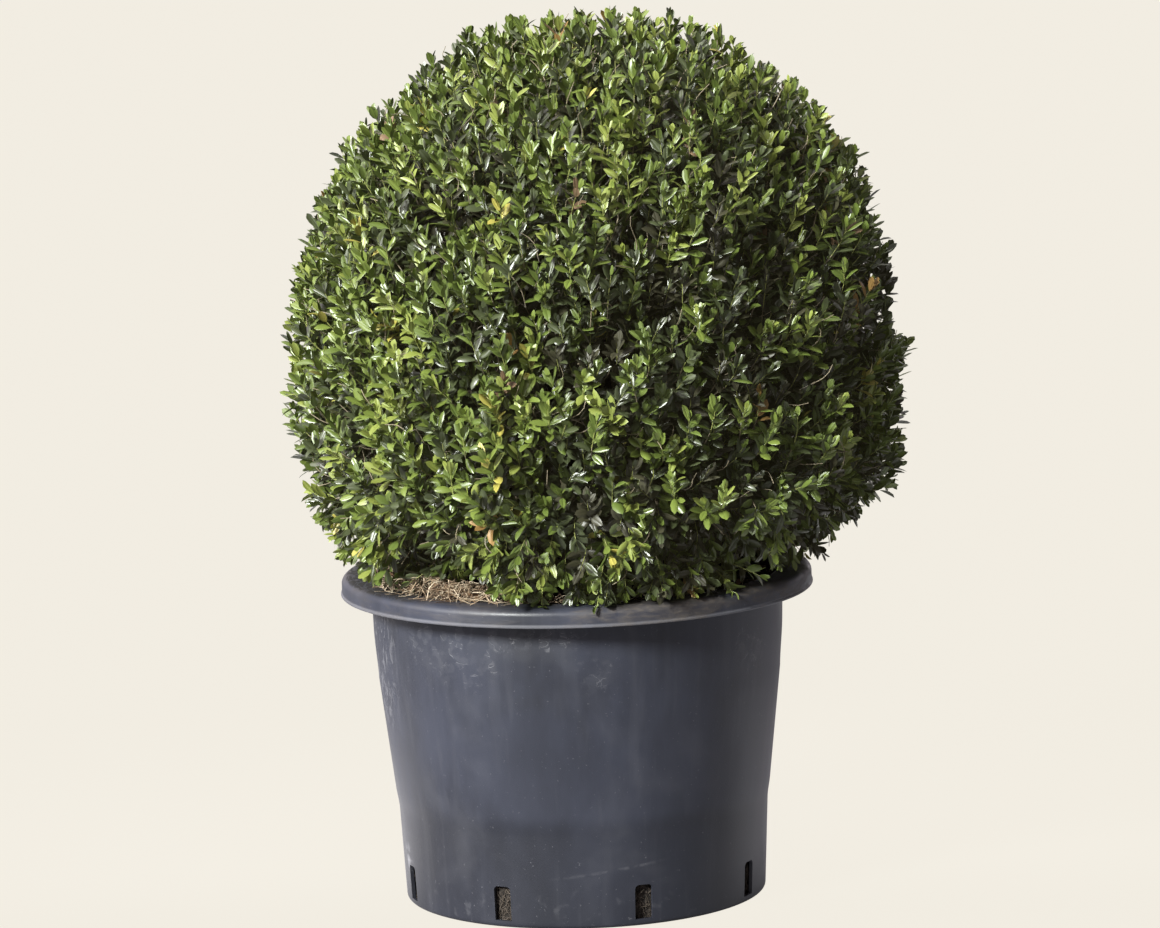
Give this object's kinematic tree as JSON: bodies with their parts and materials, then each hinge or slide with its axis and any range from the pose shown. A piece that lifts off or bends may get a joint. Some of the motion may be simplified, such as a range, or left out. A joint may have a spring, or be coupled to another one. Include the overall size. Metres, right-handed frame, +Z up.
{
  "type": "potted box topiary ball",
  "caption": "Evergreen shrub clipped to a dense ball of small glossy leaves, standing in a round tapered nursery pot with a turned-down rim and drainage slots.",
  "frame": {"origin": "centre of the pot's flat underside, where it stands on the ground", "axes": "+Z up along the pot's own axis, -Y the front, +X to the right seen from the front; the ball's centre lies a little towards +X"},
  "size_m": [0.5982, 0.6, 0.844],
  "materials": {
    "pot_plastic": "satin",
    "soil": "matte",
    "bark": "matte",
    "foliage": "satin"
  },
  "bodies": {
    "root": {"pot_wall": "pot_plastic", "pot_rim": "pot_plastic", "pot_skirt": "pot_plastic", "root_ball": "soil", "stem": "bark", "foliage_ball": "foliage"}
  },
  "joints": []
}
